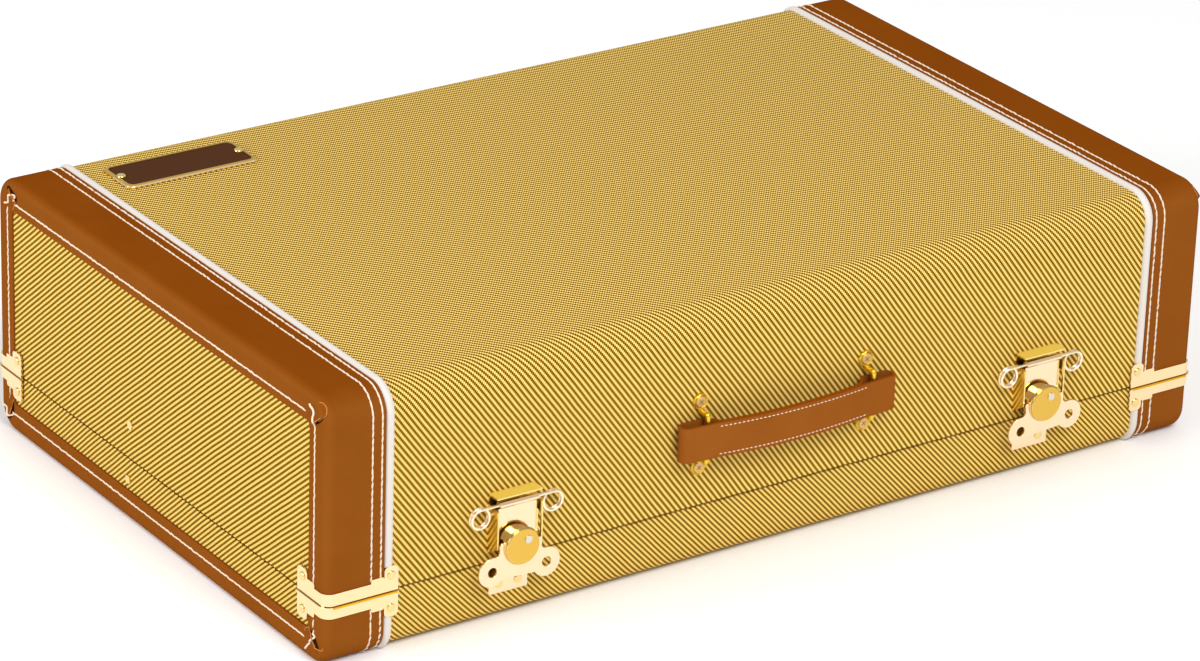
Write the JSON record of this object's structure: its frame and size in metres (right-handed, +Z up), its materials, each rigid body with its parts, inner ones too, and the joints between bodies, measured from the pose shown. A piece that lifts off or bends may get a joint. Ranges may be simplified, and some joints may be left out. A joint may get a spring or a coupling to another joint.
{
  "type": "guitar pedal case",
  "caption": "hard pedal case with a hinged lid, striped cloth, stitched brown leather ends, white piping, butterfly latches and a strap handle",
  "frame": {"origin": "middle of the tray's flat underside", "axes": "+X along the length, -Y towards the front with the handle and latches, +Z up"},
  "size_m": [0.644, 0.4134, 0.1716],
  "materials": {
    "striped_cloth": "woven diagonal stripe, lacquered",
    "brown_leather": "smooth waxed",
    "white_welt": "smooth vinyl",
    "flock_lining": "short flock",
    "plywood": "sanded",
    "gold_plate": "polished",
    "satin_gold": "satin",
    "nickel_rivet": "polished",
    "plated_steel": "zinc plated",
    "brown_enamel": "gloss enamel"
  },
  "bodies": {
    "base": {"base_bent_shell": "plywood", "base_cloth_wrap": "striped_cloth", "base_corner_clips": "gold_plate", "base_end_cloth_left": "striped_cloth", "base_end_cloth_right": "striped_cloth", "base_end_panel_left": "plywood", "base_end_panel_right": "plywood", "base_leather_left": "brown_leather", "base_leather_right": "brown_leather", "base_lining": "flock_lining", "base_piping_left": "white_welt", "base_piping_right": "white_welt", "hinge_leaves_base": "gold_plate", "hinge_pins": "plated_steel", "latch_keeper_left": "gold_plate", "latch_keeper_right": "gold_plate", "pedal_deck": "plywood", "stay_rivet_base": "plated_steel", "tray_rivets": "gold_plate"},
    "lid": {"handle_loops": "gold_plate", "handle_screws": "gold_plate", "hinge_leaves_lid": "gold_plate", "latch_mount_left": "gold_plate", "latch_mount_right": "gold_plate", "latch_spring_left": "gold_plate", "latch_spring_right": "gold_plate", "lid_bent_shell": "plywood", "lid_cloth_wrap": "striped_cloth", "lid_corner_clips": "gold_plate", "lid_end_cloth_left": "striped_cloth", "lid_end_cloth_right": "striped_cloth", "lid_end_panel_left": "plywood", "lid_end_panel_right": "plywood", "lid_leather_left": "brown_leather", "lid_leather_right": "brown_leather", "lid_lining": "flock_lining", "lid_piping_left": "white_welt", "lid_piping_right": "white_welt", "lid_rivets": "gold_plate", "name_plate": "gold_plate", "name_plate_panel": "brown_enamel", "name_plate_screws": "gold_plate", "stay_rivet_lid": "plated_steel"},
    "hasp_left": {"hasp_left": "gold_plate"},
    "hasp_right": {"hasp_right": "gold_plate"},
    "knob_left": {"knob_cap_left": "satin_gold", "knob_rivet_left": "nickel_rivet", "latch_barrel_left": "gold_plate", "latch_cam_left": "plated_steel", "wing_plate_left": "gold_plate"},
    "knob_right": {"knob_cap_right": "satin_gold", "knob_rivet_right": "nickel_rivet", "latch_barrel_right": "gold_plate", "latch_cam_right": "plated_steel", "wing_plate_right": "gold_plate"},
    "handle": {"handle_strap": "brown_leather"},
    "stay_base": {"stay_link_base": "plated_steel"},
    "stay_lid": {"stay_elbow_rivet": "plated_steel", "stay_link_lid": "plated_steel"}
  },
  "joints": [
    {"name": "lid_hinge", "type": "hinge", "parent": "base", "child": "lid", "pos_m": [0, 0.19805, 0.0405], "axis": [-1, 0, 0], "range_deg": [0, 100]},
    {"name": "hasp_left_hinge", "type": "hinge", "parent": "lid", "child": "hasp_left", "pos_m": [-0.1935, -0.20215, 0.0804], "axis": [-1, 0, 0], "range_deg": [0, 90]},
    {"name": "knob_left_turn", "type": "hinge", "parent": "hasp_left", "child": "knob_left", "pos_m": [-0.1935, -0.20275, 0.0533], "axis": [0, -1, 0], "range_deg": [0, 80]},
    {"name": "hasp_right_hinge", "type": "hinge", "parent": "lid", "child": "hasp_right", "pos_m": [0.194, -0.20215, 0.0804], "axis": [-1, 0, 0], "range_deg": [0, 90]},
    {"name": "knob_right_turn", "type": "hinge", "parent": "hasp_right", "child": "knob_right", "pos_m": [0.194, -0.20275, 0.0533], "axis": [0, 1, 0], "range_deg": [0, 80]},
    {"name": "handle_pull", "type": "slide", "parent": "lid", "child": "handle", "axis": [0, -1, 0], "range_m": [0, 0.0018]},
    {"name": "stay_base_turn", "type": "hinge", "parent": "base", "child": "stay_base", "pos_m": [-0.3073, 0.0343, 0.0263], "axis": [-1, 0, 0], "range_deg": [0, 132.43]},
    {"name": "stay_lid_turn", "type": "hinge", "parent": "lid", "child": "stay_lid", "pos_m": [-0.3053, 0.0313, 0.0635], "axis": [1, 0, 0], "range_deg": [0, 121.22]}
  ],
  "couplings": [
    {"joint": "stay_base_turn", "follows": "lid_hinge", "ratio": 1.3243},
    {"joint": "stay_lid_turn", "follows": "lid_hinge", "ratio": 1.2122}
  ]
}
